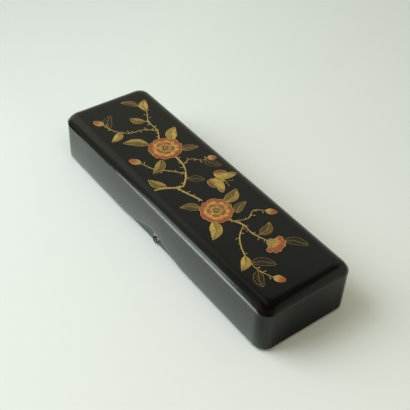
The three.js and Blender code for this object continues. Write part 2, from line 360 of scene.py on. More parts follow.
        # rubs and small chips along the front arris, most of them towards the left end
        band = m.math("MULTIPLY", m.range(z, 0.0392, 0.0412, 0.0, 1.0, smoothstep=True),
                      m.range(z, 0.0418, 0.0424, 1.0, 0.0))
        along = m.range(x, -0.062, -0.052, 1.0, 0.10)
        bite = m.range(m.noise(190.0, 1.0, 0.4), 0.52, 0.62, 0.0, 1.0, smoothstep=True)
        along = m.math("MULTIPLY", along, m.range(sep.outputs[1], -0.040, -0.030, 1.0, 0.0))
        bite = m.math("MULTIPLY", m.math("MULTIPLY", bite, band), along)
        spec = m.math("MULTIPLY", spec, m.math("SUBTRACT", 1.0, m.math("MULTIPLY", bite, 0.6)))
        painted_reflection_haze = m.math("MULTIPLY", painted_reflection_haze, m.math("SUBTRACT", 1.0, bite))
        m.t.links.new(spec, b.inputs["Specular IOR Level"])
        # faint rubs on the left of the shoulder
        rub = m.range(m.noise(420.0, 1.0, 0.4), 0.55, 0.70, 0.0, 0.6, smoothstep=True)
        rub = m.math("MULTIPLY", rub, m.math("MULTIPLY", m.range(x, -0.128, -0.100, 1.0, 0.0, smoothstep=True),
                                             m.math("SUBTRACT", 1.0, wall)))
        rub = m.math("MULTIPLY", rub, m.range(sep.outputs[1], -0.034, -0.012, 1.0, 0.0, smoothstep=True))
        col = m.mix(rub, col, c4(0.0190, 0.0175, 0.0160))
        # painted reflection: greenish grey where the skirt mirrors the pale floor
        col = m.mix(painted_reflection_haze, col, c4(0.0600, 0.0690, 0.0590))
        # over the right corners of the shoulder the lacquer is thin and its reddish ground shows
        cx = m.range(x, 0.130, 0.142, 0.0, 1.0, smoothstep=True)
        cy = m.range(m.math("ABSOLUTE", sep.outputs[1]), 0.024, 0.036, 0.0, 1.0, smoothstep=True)
        thin = m.math("MULTIPLY", m.math("MULTIPLY", cx, cy), m.math("SUBTRACT", 1.0, wall))
        col = m.mix(thin, col, c4(0.0042, 0.0025, 0.0026))
        # the right end: a painted reflection on the lower shoulder, stronger towards the back, and a painted highlight
        # along the arris
        inner = m.math("ADD", x, m.math("MULTIPLY", y, 0.0213))
        soft = m.math("MULTIPLY", m.range(inner, 0.1436, 0.1456, 0.0, 1.0, smoothstep=True),
                      m.range(y, -0.030, 0.024, 0.0, 1.0))
        soft = m.math("MULTIPLY", soft, m.range(z, 0.0435, 0.0465, 0.65, 1.0))
        soft = m.math("MULTIPLY", soft, m.math("MULTIPLY", m.math("SUBTRACT", 1.0, wall),
                                               m.range(y, 0.036, 0.043, 1.0, 0.0)))
        line = m.math("MULTIPLY", m.range(z, 0.0413, 0.0419, 0.0, 1.0), m.range(z, 0.0423, 0.0434, 1.0, 0.0))
        line = m.math("MULTIPLY", line, m.math("MULTIPLY", m.range(x, 0.1455, 0.1475, 0.0, 1.0),
                                               m.range(y, -0.0385, -0.0350, 0.0, 0.8)))
        line = m.math("MULTIPLY", line, m.range(y, -0.010, 0.030, 1.0, 1.4), clamp=True)
        # painted highlight down the rounded front corner of the right end
        end_corner_painted_highlight = m.math("MULTIPLY", m.range(y, -0.0425, -0.0395, 0.0, 1.0, smoothstep=True),
                       m.range(y, -0.0385, -0.0335, 1.0, 0.0, smoothstep=True))
        end_corner_painted_highlight = m.math("MULTIPLY", end_corner_painted_highlight, m.range(z, 0.010, 0.036, 1.0, 0.60))
        end_corner_painted_highlight = m.math("MULTIPLY", m.math("MULTIPLY", end_corner_painted_highlight, wall), m.range(x, 0.140, 0.146, 0.0, 1.0))
        # the long front side: a painted reflection on the upper shoulder and a fine painted highlight on the arris
        upper = m.math("MULTIPLY", m.range(slant, -0.0416, -0.0392, 0.0, 1.0, smoothstep=True),
                       m.range(y, -0.0378, -0.0343, 1.0, 0.0, smoothstep=True))
        upper = m.math("MULTIPLY", m.math("MULTIPLY", upper, over), m.range(x, -0.140, -0.100, 1.0, 0.80))
        upper = m.math("MULTIPLY", upper, m.math("MULTIPLY", m.range(x, 0.065, 0.110, 1.0, 0.72),
                                                 m.range(x, 0.137, 0.144, 1.0, 0.0, smoothstep=True)))
        front_arris_painted_highlight = m.math("MULTIPLY", m.range(z, 0.0398, 0.0409, 0.0, 1.0, smoothstep=True),
                           m.range(z, 0.0413, 0.0421, 1.0, 0.0, smoothstep=True))
        front_arris_painted_highlight = m.math("MULTIPLY", front_arris_painted_highlight, m.math("MULTIPLY", m.range(y, -0.0450, -0.0445, 1.0, 0.0),
                                                         m.range(x, -0.056, 0.040, 0.35, 1.0)))
        front_arris_painted_highlight = m.math("MULTIPLY", front_arris_painted_highlight, m.range(x, 0.050, 0.075, 1.0, 0.84))
        front_arris_painted_highlight = m.math("MULTIPLY", front_arris_painted_highlight, m.math("MULTIPLY", m.range(x, -0.058, -0.054, 0.0, 1.0),
                                                         m.range(x, 0.139, 0.142, 1.0, 0.0)))
        # painted reflection on the front shoulder and painted highlight on the front arris
        col = m.mix(upper, col, c4(*PAINTED_FRONT_SHOULDER_REFLECTION))
        col = m.mix(front_arris_painted_highlight, col, c4(*PAINTED_FRONT_ARRIS_HIGHLIGHT))
        # painted reflection and painted highlights of the right end
        col = m.mix(soft, col, c4(*PAINTED_END_SHOULDER_REFLECTION))
        col = m.mix(line, col, c4(*PAINTED_END_ARRIS_HIGHLIGHT))
        col = m.mix(end_corner_painted_highlight, col, c4(*PAINTED_END_CORNER_HIGHLIGHT))
        m.t.links.new(m.mix(wall, c4(1, 1, 1), c4(0.88, 1.0, 0.865)), b.inputs["Specular Tint"])
    else:
        # the foot of the body gets a painted reflection of the pale floor, a greenish grey, and a higher specular level
        b.inputs["Specular Tint"].default_value = (0.90, 1.0, 0.89, 1.0)
        foot = m.range(sep.outputs[2], 0.004, 0.015, 1.0, 0.0, smoothstep=True)
        m.t.links.new(m.math("ADD", 0.5, m.math("MULTIPLY", foot, 0.18)), b.inputs["Specular IOR Level"])
        col = m.mix(foot, col, c4(0.0190, 0.0225, 0.0180))
    m.t.links.new(col, b.inputs["Base Color"])
    m.t.links.new(r, b.inputs["Roughness"])
    h = m.noise(60.0, 2.0, 0.5)
    n = m.bump(h, 0.00002, 0.3)
    n = m.bump(fine, 0.000004, 0.3, n)
    m.t.links.new(n, b.inputs["Normal"])
    return m.mat


MAT_LID = lacquer_material("lid_lacquer_finish", (0.0030, 0.0031, 0.0030), 0.105, skirt=True)
MAT_BLACK = lacquer_material("black_lacquer_finish", (0.0030, 0.0031, 0.0030), 0.15)
MAT_INNER = lacquer_material("inner_lacquer_finish", (0.0060, 0.0052, 0.0046), 0.36)


def satin_bands(ob, n, bands):
    """Gives the satin inner lacquer to some bands of a loft, -1 being its caps."""
    me = ob.data
    me.materials.append(MAT_INNER)
    idx = np.zeros(len(me.polygons), int)
    for k, _ in enumerate(idx):
        band = k // n if k < n * bands[0] else -1
        idx[k] = 1 if band in bands[1] else 0
    me.polygons.foreach_set("material_index", idx.tolist())
    me.update()


# ======================================================================================
# Lid: skirt, shoulder and top as one lacquered surface over the core boards
# ======================================================================================
def lid_shell():
    rings = []

    def wall_ring(inset, dz, z_abs=None):
        r = plan_ring(LX - inset, LY - inset, LID_R - inset, US, VS, NC)
        if z_abs is None:
            long_side = np.abs(r[:, 1]) > LY - inset - 0.01
            zb = EDGE_Z + np.where(long_side, arch_rise(r[:, 0]), 0.0)
            return with_z(r, zb + dz)
        return with_z(r, z_abs)

    def between(inset, t, z_top):
        lowest = wall_ring(inset, 0.9)
        r = lowest.copy()
        r[:, 2] = lowest[:, 2] + (z_top - lowest[:, 2]) * t
        return r

    w = LID_WALL
    # underside of the top, then the inside of the skirt downwards
    rings.append(wall_ring(w + 3.0, 0, ARRIS_Z))
    rings.append(wall_ring(w + 0.38, 0, ARRIS_Z))
    rings.append(wall_ring(w + 0.12, 0, ARRIS_Z - 0.10))
    rings.append(wall_ring(w, 0, ARRIS_Z - 0.40))
    for t in (0.66, 0.33):
        rings.append(between(w, t, ARRIS_Z - 0.40))
    # rounded lower edge
    for inset, dz in ((w, 0.9), (w - 0.06, 0.5), (w - 0.25, 0.2), (w - 0.6, 0.02),
                      (0.75, 0.0), (0.45, 0.08), (0.2, 0.26), (0.05, 0.55), (0.0, 0.9)):
        rings.append(wall_ring(inset, dz))
    # outside of the skirt upwards
    z_top = ARRIS_Z - 0.7
    for t in (0.12, 0.25, 0.4, 0.55, 0.7, 0.85, 1.0):
        rings.append(between(0.0, t, z_top))
    # the arris: a fine rounding between skirt and shoulder
    t0 = math.radians(SHOULDER_T0)
    rad = 0.35
    cx, cz = rad, -rad * math.tan(t0 / 2)      # centre of the rounding's arc
    for k in range(6):
        a = t0 * k / 5
        rings.append(with_z(
            plan_ring(LX - (cx - rad * math.cos(a)), LY - (cx - rad * math.cos(a)),
                      ring_radius(cx - rad * math.cos(a)), US, VS, NC),
            ARRIS_Z + cz + rad * math.sin(a)))
    start = rad * math.tan(t0 / 2)
    # shoulder
    for s in np.concatenate([[start + 0.35], np.linspace(1.0, SHOULDER_ARC, 22)]):
        i, up = float(np.interp(s, SH_S, SH_IN)), float(np.interp(s, SH_S, SH_UP))
        rings.append(with_z(plan_ring(LX - i, LY - i, float(ring_radius(i)), US, VS, NC), ARRIS_Z + up))
    # crowned top
    for t in (0.06, 0.13, 0.21, 0.3, 0.4, 0.5, 0.6, 0.7, 0.8, 0.9, 0.97):
        i = SH_WIDTH + t * (LY - SH_WIDTH)
        rings.append(with_z(plan_ring(LX - i, LY - i, min(float(ring_radius(i)), (LY - i) * 0.9), US, VS, NC),
                            ARRIS_Z + SH_HEIGHT))
    # crown and slight unevenness
    for k, r in enumerate(rings):
        if k < 15:
            continue
        i = inset_of(r[:, 0], r[:, 1])
        top = r[:, 2] > ARRIS_Z + 0.3
        r[:, 2] += np.where(top, crown(r[:, 0], r[:, 1]), 0.0)
        wv = wave(r[:, 0], r[:, 1], r[:, 2])
        r[:, 2] += np.where(top, wv * smooth(i / 6.0), 0.0)
        # the skirt moves in or out along its own normal
        edge = smooth((ARRIS_Z - r[:, 2]) / 6.0) * smooth((r[:, 2] - 4.0) / 6.0)
        side = np.abs(r[:, 0]) - FLAT_X > np.abs(r[:, 1]) - FLAT_Y
        off = np.where(~top, -np.abs(wv) * edge, 0.0)
        r[:, 0] += np.where(side, np.sign(r[:, 0]) * off, 0.0)
        r[:, 1] += np.where(~side, np.sign(r[:, 1]) * off, 0.0)
    return loft("lid_shell", rings, flip=True), len(rings[0]), len(rings) - 1


LID_NODES = ["lid_front_board", "lid_back_board", "lid_left_end_board", "lid_right_end_board",
             "lid_corner_front_left", "lid_corner_front_right", "lid_corner_back_left",
             "lid_corner_back_right", "lid_top_panel"]
lid, lid_n, lid_bands = lid_shell()
lid.data.materials.append(MAT_LID)
# height over the skirt's own lower edge, 0 there and 1 at the arris, for the painted floor reflection on the skirt
lid_co = np.array([v.co[:] for v in lid.data.vertices]) / MM
lid_edge = EDGE_Z + np.where(np.abs(lid_co[:, 1]) > LY - 0.8, arch_rise(lid_co[:, 0]), 0.0)
above = lid.data.attributes.new("above", "FLOAT", "POINT")
above.data.foreach_set("value", np.clip((lid_co[:, 2] - lid_edge) / (ARRIS_Z - 0.7 - lid_edge), 0, 1))
satin_bands(lid, lid_n, (lid_bands, set(range(7))))
cap = lid.data.polygons[lid_n * lid_bands]      # underside of the top
cap.material_index = 1
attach(lid, "lid")
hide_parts(*LID_NODES)

# ======================================================================================
# Body: walls and bottom
# ======================================================================================
def body_shell():
    rings = []

    def ring(inset, z):
        return with_z(plan_ring(BX - inset, BY - inset, max(BODY_R - inset, 1.2), US, VS, NC), z)

    # underside, outwards and up
    for inset, z in ((3.0, 0.0), (0.9, 0.0), (0.35, 0.1), (0.08, 0.4), (0.0, 0.9)):
        rings.append(ring(inset, z))
    for z in (3, 6, 9, 12, 16, 22, 28, 34, 39.6):
        rings.append(ring(0.0, z))
    top = ARRIS_Z
    for inset, z in ((0.0, top - 0.55), (0.16, top - 0.16), (0.55, top), (BODY_WALL - 0.55, top),
                     (BODY_WALL - 0.16, top - 0.16), (BODY_WALL, top - 0.55)):
        rings.append(ring(inset, z))
    for z in (38, 30, 20, 10, BOTTOM + 1.2):
        rings.append(ring(BODY_WALL, z))
    for inset, z in ((BODY_WALL + 0.2, BOTTOM + 0.5), (BODY_WALL + 0.6, BOTTOM + 0.12), (BODY_WALL + 1.4, BOTTOM)):
        rings.append(ring(inset, z))
    return loft("body_shell", rings), len(rings[0]), len(rings) - 1


BODY_NODES = ["body_front_board", "body_back_board", "body_left_end_board", "body_right_end_board",
              "body_corner_front_left", "body_corner_front_right", "body_corner_back_left",
              "body_corner_back_right", "body_bottom_board"]
body, body_n, body_bands = body_shell()
body.data.materials.append(MAT_BLACK)
satin_bands(body, body_n, (body_bands, {-1, 0} | set(range(body_bands - 8, body_bands))))
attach(body, "box_body")
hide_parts(*BODY_NODES)

# ======================================================================================
# Ring fittings: petalled rosette, split pin, hanging ring and inner washer
# ======================================================================================
def grid_solid(top, bottom, closed_u=False):
    """Closed solid between two equal grids of points (nu, nv, 3); closed_u joins the first
    and last rows. Returns vertices and faces."""
    nu, nv = top.shape[:2]
    verts = np.concatenate([top.reshape(-1, 3), bottom.reshape(-1, 3)])
    off = nu * nv
    faces = []
    rows = nu if closed_u else nu - 1
    for i in range(rows):
        for j in range(nv - 1):
            a, b = i * nv + j, ((i + 1) % nu) * nv + j
            faces.append((a, b, b + 1, a + 1))
            faces.append((off + a, off + a + 1, off + b + 1, off + b))
    for i in range(rows):
        for j, turn in ((0, False), (nv - 1, True)):
            a, b = i * nv + j, ((i + 1) % nu) * nv + j
            f = (a, off + a, off + b, b)
            faces.append(f[::-1] if turn else f)
    if not closed_u:
        for i, turn in ((0, True), (nu - 1, False)):
            for j in range(nv - 1):
                a, b = i * nv + j, i * nv + j + 1
                f = (a, off + a, off + b, b)
                faces.append(f[::-1] if turn else f)
    return verts, faces


def fix_normals(ob):
    bm = bmesh.new()
    bm.from_mesh(ob.data)
    bmesh.ops.recalc_face_normals(bm, faces=bm.faces)
    bm.to_mesh(ob.data)
    bm.free()
    ob.data.update()


def place_fitting(local, side, x):
    """Local (right, outwards, up) millimetres to the frame; outwards counts from the body's face."""
    out = np.empty_like(local)
    out[:, 0] = x + local[:, 0] * (-side)
    out[:, 1] = side * (BY + local[:, 1])
    out[:, 2] = FIT_Z + local[:, 2]
    return out


def rosette(name, side, x):
    petals, nr = 12, 22
    na = petals * 14
    ang = np.linspace(0, 2 * math.pi, na, endpoint=False)
    phase = np.abs(((ang * petals / (2 * math.pi)) % 1.0) - 0.5) * 2      # 0 mid petal, 1 in the gap
    rim = 4.3 - 0.42 * phase ** 3
    rows_t, rows_b = [], []
    t = np.linspace(0, 1, nr)
    for k, a in enumerate(ang):
        r = 0.55 + t * (rim[k] - 0.55)
        h = 0.34 + 0.0 * r
        # petals: domed across, hollowed near the boss
        pt = np.clip((r - 1.75) / (rim[k] - 1.75), 0, 1)
        dome = np.sin(np.pi * np.clip(pt, 0, 1) ** 0.8) ** 0.6
        h = h + 0.36 * dome * (1 - phase[k] ** 2.2) * (r > 1.7)
        # raised collar round the pin
        h = h + 0.42 * np.exp(-((r - 1.15) / 0.38) ** 2)
        # eased rim
        h = h * (1 - 0.75 * smooth((r - (rim[k] - 0.28)) / 0.28))
        rows_t.append(np.column_stack([r * math.cos(a), h, r * math.sin(a)]))
        rows_b.append(np.column_stack([r * math.cos(a), 0 * h, r * math.sin(a)]))
    v, f = grid_solid(np.array(rows_t), np.array(rows_b), closed_u=True)
    ob = obj_from(name, place_fitting(v, side, x) * MM, f)
    fix_normals(ob)
    return ob


def tube(name, pts, radius, sides=14, closed=False, squash=1.0):
    """Round wire along points (n, 3) in millimetres."""
    pts = np.array(pts, float)
    n = len(pts)
    if closed:
        tan = np.roll(pts, -1, 0) - np.roll(pts, 1, 0)
    else:
        tan = np.gradient(pts, axis=0)
    tan /= np.linalg.norm(tan, axis=1)[:, None]
    ref = np.array([1.0, 0, 0]) if abs(tan[0][0]) < 0.9 else np.array([0, 0, 1.0])
    u = np.cross(tan[0], ref)
    u /= np.linalg.norm(u)
    us = [u]
    for i in range(1, n):
        u = us[-1] - tan[i] * (us[-1] @ tan[i])
        us.append(u / np.linalg.norm(u))
    radius = np.broadcast_to(np.asarray(radius, float), (n,))
    rings = []
    for i in range(n):
        w = np.cross(tan[i], us[i])
        a = np.linspace(0, 2 * math.pi, sides, endpoint=False)[:, None]
        rings.append(pts[i] + radius[i] * (np.cos(a) * us[i] + np.sin(a) * squash * w))
    if closed:
        verts = np.concatenate(rings)
        faces = []
        for k in range(n):
            for i in range(sides):
                a, b = k * sides + i, k * sides + (i + 1) % sides
                c, d = ((k + 1) % n) * sides + i, ((k + 1) % n) * sides + (i + 1) % sides
                faces.append((a, b, d, c))
        ob = obj_from(name, verts * MM, faces)
    else:
        first, last = pts[0] - tan[0] * radius[0] * 0.6, pts[-1] + tan[-1] * radius[-1] * 0.6
        rings = ([rings[0] * 0.45 + pts[0] * 0.55 - tan[0] * radius[0] * 0.5] + rings
                 + [rings[-1] * 0.45 + pts[-1] * 0.55 + tan[-1] * radius[-1] * 0.5])
        ob = loft(name, rings)
    fix_normals(ob)
    return ob


def split_pin(name, side, x):
    wire, loop, out, gap, spread, bend = 0.3, 1.0, 1.7, 0.4, 2.3, 0.55
    inside = -(BODY_WALL + 0.4 + 0.1 + wire)
    pts = []
    P = lambda y, z: pts.append((0.0, y, z))
    for z in np.linspace(gap + spread, gap + bend + 0.2, 5):
        P(inside, z)
    for a in np.linspace(0, math.pi / 2, 7):
        P(inside + bend * (1 - math.cos(a)), gap + bend * (1 - math.sin(a)))
    for y in np.linspace(inside + bend + 0.4, out - loop - 0.2, 7):
        P(y, gap)
    a0 = math.asin(gap / loop)
    for a in np.linspace(math.pi - a0, -(math.pi - a0), 40):
        P(out + loop * math.cos(a), loop * math.sin(a))
    for y in np.linspace(out - loop - 0.2, inside + bend + 0.4, 7):
        P(y, -gap)
    for a in np.linspace(math.pi / 2, 0, 7):
        P(inside + bend * (1 - math.cos(a)), -gap - bend * (1 - math.sin(a)))
    for z in np.linspace(-gap - bend - 0.2, -gap - spread, 5):
        P(inside, z)
    n = len(pts)
    rad = np.full(n, wire)
    rad[:3] *= (0.6, 0.8, 0.95)
    rad[-3:] *= (0.95, 0.8, 0.6)
    return tube(name, place_fitting(np.array(pts), side, x), rad, 12)


def ring_piece(name, side, x):
    a = np.linspace(0, 2 * math.pi, 72, endpoint=False)
    rr = 3.05 + 0.03 * np.cos(2 * a + 0.6) + 0.02 * np.cos(5 * a)
    local = np.column_stack([rr * np.sin(a), np.full_like(a, 1.7), -3.05 + rr * np.cos(a)])
    wire = 0.44 - 0.035 * (0.5 + 0.5 * np.cos(a)) ** 6 + 0.012 * np.sin(7 * a + 1.0)
    return tube(name, place_fitting(local, side, x), wire, 18, closed=True)


def washer(name, side, x):
    na = 48
    ang = np.linspace(0, 2 * math.pi, na, endpoint=False)
    r = np.array([0.75, 0.9, 1.6, 2.3, 2.55, 2.7])
    h = np.array([0.33, 0.4, 0.4, 0.4, 0.36, 0.18])
    top = np.array([np.column_stack([r * math.cos(a), -BODY_WALL - h, r * math.sin(a)]) for a in ang])
    bot = np.array([np.column_stack([r * math.cos(a), -BODY_WALL + 0 * h, r * math.sin(a)]) for a in ang])
    v, f = grid_solid(top, bot, closed_u=True)
    ob = obj_from(name, place_fitting(v, side, x) * MM, f)
    fix_normals(ob)
    return ob


def metal_material(name, light, dark, rough, tarnish):
    m = Nodes(name)
    b = m.bsdf
    b.inputs["Metallic"].default_value = 1.0
    patina = m.noise(900.0, 4.0, 0.6)
    spots = m.noise(2600.0, 2.0, 0.5)
    k = m.range(patina, 0.38, 0.68, 0.0, tarnish, smoothstep=True)
    k = m.math("ADD", k, m.range(spots, 0.6, 0.8, 0.0, 0.25), clamp=True)
    m.t.links.new(m.mix(k, c4(*light), c4(*dark)), b.inputs["Base Color"])
    m.t.links.new(m.range(k, 0.0, 1.0, rough, rough + 0.22), b.inputs["Roughness"])
    m.t.links.new(m.bump(spots, 0.00003, 0.6), b.inputs["Normal"])
    return m.mat


MAT_GILT = metal_material("gilt_finish", (0.61, 0.57, 0.46), (0.25, 0.22, 0.165), 0.38, 0.70)
MAT_DARK = metal_material("dark_metal_finish", (0.16, 0.135, 0.10), (0.040, 0.033, 0.026), 0.32, 0.9)
MAT_RING = metal_material("ring_finish", (0.062, 0.053, 0.040), (0.014, 0.012, 0.010), 0.28, 0.9)

for where, side in (("front", -1), ("back", 1)):
    x = FIT_X[where]
    for maker, part, mat, slot_name, rides in (
            (rosette, "rosette", MAT_GILT, "gilt_metal", "box_body"),
            (split_pin, "split_pin", MAT_DARK, "dark_metal", "box_body"),
            (washer, "inner_washer", MAT_DARK, "dark_metal", "box_body"),
            (ring_piece, "ring", MAT_RING, "dark_metal", where + "_ring")):
        ob = maker(where + "_" + part + "_detail", side, x)
        ob.data.materials.append(mat)
        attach(ob, rides)
        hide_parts(where + "_" + part)

# ======================================================================================
# Raised gold and red decoration on the lid: a camellia branch with a butterfly
# ======================================================================================
def spline(pts, n):
    """Centripetal-like smooth curve through 2-D points, n samples evenly along its length."""
    p = np.array(pts, float)
    if len(p) == 2:
        t = np.linspace(0, 1, n)[:, None]
        return p[0] * (1 - t) + p[1] * t
    q = np.vstack([2 * p[0] - p[1], p, 2 * p[-1] - p[-2]])
    out = []
    for i in range(1, len(q) - 2):
        t = np.linspace(0, 1, 24, endpoint=False)[:, None]
        a, b, c, d = q[i - 1], q[i], q[i + 1], q[i + 2]
        out.append(0.5 * (2 * b + (c - a) * t + (2 * a - 5 * b + 4 * c - d) * t ** 2 + (3 * b - a - 3 * c + d) * t ** 3))
    out = np.vstack(out + [p[-1:]])
    s = np.concatenate([[0], np.cumsum(np.linalg.norm(np.diff(out, axis=0), axis=1))])
    u = np.linspace(0, s[-1], n)
    return np.column_stack([np.interp(u, s, out[:, 0]), np.interp(u, s, out[:, 1])])


def frame2(p):
    t = np.gradient(p, axis=0)
    t /= np.linalg.norm(t, axis=1)[:, None] + 1e-12
    return t, np.column_stack([-t[:, 1], t[:, 0]])


class Relief:
    """Thin raised shapes on the top of the lid. Each is a closed grid solid sunk a little into
    the lacquer. Attributes: tone 0 red to 1 gold, ink 0 to 1 dark brown, pu and pv the place
    along and across the shape."""

    def __init__(self):
        self.v, self.f, self.a = [], [], []
        self.n = 0

    def grid(self, xy, h, tone, ink, pu, pv):
        xy = np.asarray(xy, float)
        z = top_z(xy[..., 0], xy[..., 1])
        top = np.dstack([xy, z + h])
        bot = np.dstack([xy, z - 0.05])
        v, f = grid_solid(top, bot)
        self.v.append(v)
        self.f.extend(tuple(i + self.n for i in face) for face in f)
        self.n += len(v)
        shape = xy.shape[:2]
        cols = [np.broadcast_to(c, shape).ravel() for c in (tone, ink, pu, pv)]
        one = np.column_stack(cols)
        self.a.append(np.vstack([one, one]))

    def build(self, name, mat):
        ob = obj_from(name, np.vstack(self.v) * MM, self.f)
        me = ob.data
        attrs = np.vstack(self.a).astype(np.float32)
        for k, key in enumerate(("tone", "ink", "pu", "pv")):
            at = me.attributes.new(key, "FLOAT", "POINT")
            at.data.foreach_set("value", attrs[:, k].copy())
        me.materials.append(mat)
        fix_normals(ob)
        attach(ob, "lid")
        return ob


def stroke(R, pts, w0, w1=None, h=0.16, tone=1.0, ink=0.0, base=0.0, step=0.8, knots=0.0, seed=0, swell=0.0, nv=7):
    """Brush line: width w0 at its start to w1 at its end."""
    p = np.array(pts, float)
    length = np.linalg.norm(np.diff(p, axis=0), axis=1).sum() * 1.03
    n = max(6, int(length / step))
    c = spline(p, n)
    t, nn = frame2(c)
    u = np.linspace(0, 1, n)
    w = (w0 + ((w0 if w1 is None else w1) - w0) * u) / 2
    w = w * (1 + swell * np.sin(np.pi * u))
    if knots:
        rng = np.random.RandomState(seed)
        k = rng.uniform(-1, 1, n)
        k = np.convolve(np.pad(k, 2, mode="edge"), np.ones(5) / 5, "valid")
        w = w * (1 + knots * 2.2 * k)
        c = c + nn * (k * knots * 1.4 * w)[:, None]
    ends = np.minimum(1, np.minimum(u, 1 - u) * length / max(0.6, w0 * 0.8) + 0.12)
    w = w * np.sqrt(ends)
    v = np.linspace(-1, 1, nv)
    xy = c[:, None, :] + nn[:, None, :] * (w[:, None] * v[None, :])[..., None]
    H = base + h * np.sqrt(np.clip(1 - v ** 2, 0.02, 1))[None, :] * ends[:, None] ** 0.5
    R.grid(xy, H, tone, ink, (u * length)[:, None] + 0 * v[None, :], v[None, :] + 0 * u[:, None])
    return c, t, nn


def blade(R, base, tip, width, bend=0.0, h=0.22, tone=1.0, tone_tip=None, ink=0.0, point=0.75, fat=0.45,
          groove=0.0, serrate=0.0, dome=0.12, lift=0.0, outline=0.0, veins=0, vein_ink=0.75, out_ink=0.35, R2=None,
          half_dark=0.0):
    """Leaf, bud or wing-like shape from base to tip."""
    base, tip = np.array(base, float), np.array(tip, float)
    ax = tip - base
    L = np.linalg.norm(ax)
    perp = np.array([-ax[1], ax[0]]) / L
    mid = (base + tip) / 2 + perp * bend * L
    nu, nv = max(16, int(L / 0.7)), 15
    c = spline([base, mid, tip], nu)
    t, nn = frame2(c)
    u = np.linspace(0, 1, nu)
    prof = np.sin(np.pi * u ** fat) ** point
    prof = np.maximum(prof, 0.02)
    w = width / 2 * prof / prof.max()
    if serrate:
        w = w * (1 + serrate * (((u * L / 1.4) % 1.0) - 0.5))
    v = np.linspace(-1, 1, nv)
    xy = c[:, None, :] + nn[:, None, :] * (w[:, None] * v[None, :])[..., None]
    e = np.minimum((1 - np.abs(v))[None, :] * w[:, None], (np.minimum(u, 1 - u) * L)[:, None] * 1.1)
    H = lift + h * np.sqrt(smooth(e / 0.7)) + dome * (1 - v ** 2)[None, :] * np.sin(np.pi * u)[:, None] + 0.02
    if groove:
        H = H - groove * np.exp(-((v[None, :] * w[:, None]) / 0.28) ** 2) * (u[:, None] < 0.93)
    tt = tone if tone_tip is None else (tone + (tone_tip - tone) * smooth(u))[:, None] + 0 * v[None, :]
    ii = ink + half_dark * smooth(v * 3 + 0.5)[None, :] + 0 * u[:, None]
    R.grid(xy, H, tt, ii, (u * L)[:, None] + 0 * v[None, :], v[None, :] + 0 * u[:, None])
    target = R2 or R

    def at(uu, vv):
        k = uu * (nu - 1)
        cc = np.column_stack([np.interp(k, np.arange(nu), c[:, 0]), np.interp(k, np.arange(nu), c[:, 1])])
        n2 = np.column_stack([np.interp(k, np.arange(nu), nn[:, 0]), np.interp(k, np.arange(nu), nn[:, 1])])
        ww = np.interp(k, np.arange(nu), w)
        return cc + n2 * (ww * vv)[:, None]

    top = lift + h + dome * 0.8
    if outline:
        for s in (-1, 1):
            uu = np.linspace(0.01, 0.99, 14)
            stroke(target, at(uu, np.full(14, s * 0.96)), outline, h=0.10, base=lift + h * 0.55, tone=1.0, ink=out_ink, nv=5)
    if veins:
        stroke(target, at(np.linspace(0.02, 0.94, 9), np.zeros(9)), 0.62, 0.34, h=0.07, base=top - 0.02, tone=1.0,
               ink=vein_ink, nv=5)
        for k in range(veins):
            u0 = 0.12 + 0.68 * k / max(1, veins - 1)
            for s in (-1, 1):
                uu = np.linspace(u0, min(0.97, u0 + 0.17), 5)
                vv = s * np.linspace(0.04, 0.8, 5)
                stroke(target, at(uu, vv), 0.42, 0.24, h=0.05, base=top - 0.06, tone=1.0, ink=vein_ink, nv=3)
    return at


def rim_distance(xy):
    """Distance of each grid point from the border of the grid, along the grid lines."""
    out = []
    for axis in (0, 1):
        d = np.linalg.norm(np.diff(xy, axis=axis), axis=2)
        c = np.concatenate([np.zeros_like(d.take([0], axis=axis)), np.cumsum(d, axis=axis)], axis=axis)
        out.append(np.minimum(c, c.take([-1], axis=axis) - c))
    return np.minimum(*out)


def patch(R, R2, a, b, lift=0.0, h=0.16, dome=0.1, tone=1.0, ink=0.0, nu=26, nv=17, bulge=0.0, outline=0.5, out_ink=0.1,
          ribs=0, rib_w=0.4, rib_ink=0.8):
    """Shape spanned between two curves that run from its root to its far margin."""
    ca, cb = spline(a, nu), spline(b, nu)
    v = np.linspace(0, 1, nv)[None, :, None]
    xy = ca[:, None, :] * (1 - v) + cb[:, None, :] * v
    u = np.linspace(0, 1, nu)
    if bulge:
        out = (ca[-1] + cb[-1] - ca[0] - cb[0]) / 2
        out /= np.linalg.norm(out)
        vv = np.linspace(0, 1, nv)
        xy = xy + out * (bulge * (u ** 4)[:, None] * (np.sin(np.pi * vv) ** 0.7 + 0.10 * np.cos(vv * 31))[None, :])[..., None]
    e = rim_distance(xy)
    vv = np.linspace(0, 1, nv)[None, :]
    H = lift + h * np.sqrt(smooth(e / 0.7)) + dome * np.sin(np.pi * vv) * np.sqrt(np.sin(np.pi * u * 0.96 + 0.06))[:, None] + 0.02
    tt = tone(u[:, None], vv) if callable(tone) else tone
    ii = ink(u[:, None], vv) if callable(ink) else ink
    L = np.linalg.norm(ca[-1] - ca[0])
    R.grid(xy, H, tt, ii, u[:, None] * L + 0 * vv, vv * 2 - 1 + 0 * u[:, None])
    if ribs:
        for q in np.linspace(0, 1, ribs + 2)[1:-1]:
            j = int(round(q * (nv - 1)))
            base = lift + h + dome * math.sin(math.pi * q) * 0.85
            stroke(R2, [xy[i, j] for i in range(2, nu - 1, 4)], rib_w, rib_w * 0.6, h=0.05, base=base, ink=rib_ink, nv=5)
    if outline:
        rim = [xy[i, 0] for i in range(1, nu, 4)] + [xy[-1, j] for j in range(0, nv, 3)] + [xy[i, -1] for i in range(nu - 2, 0, -4)]
        stroke(R2, rim, outline, outline, h=0.11, base=lift + h * 0.6, ink=out_ink, nv=5)


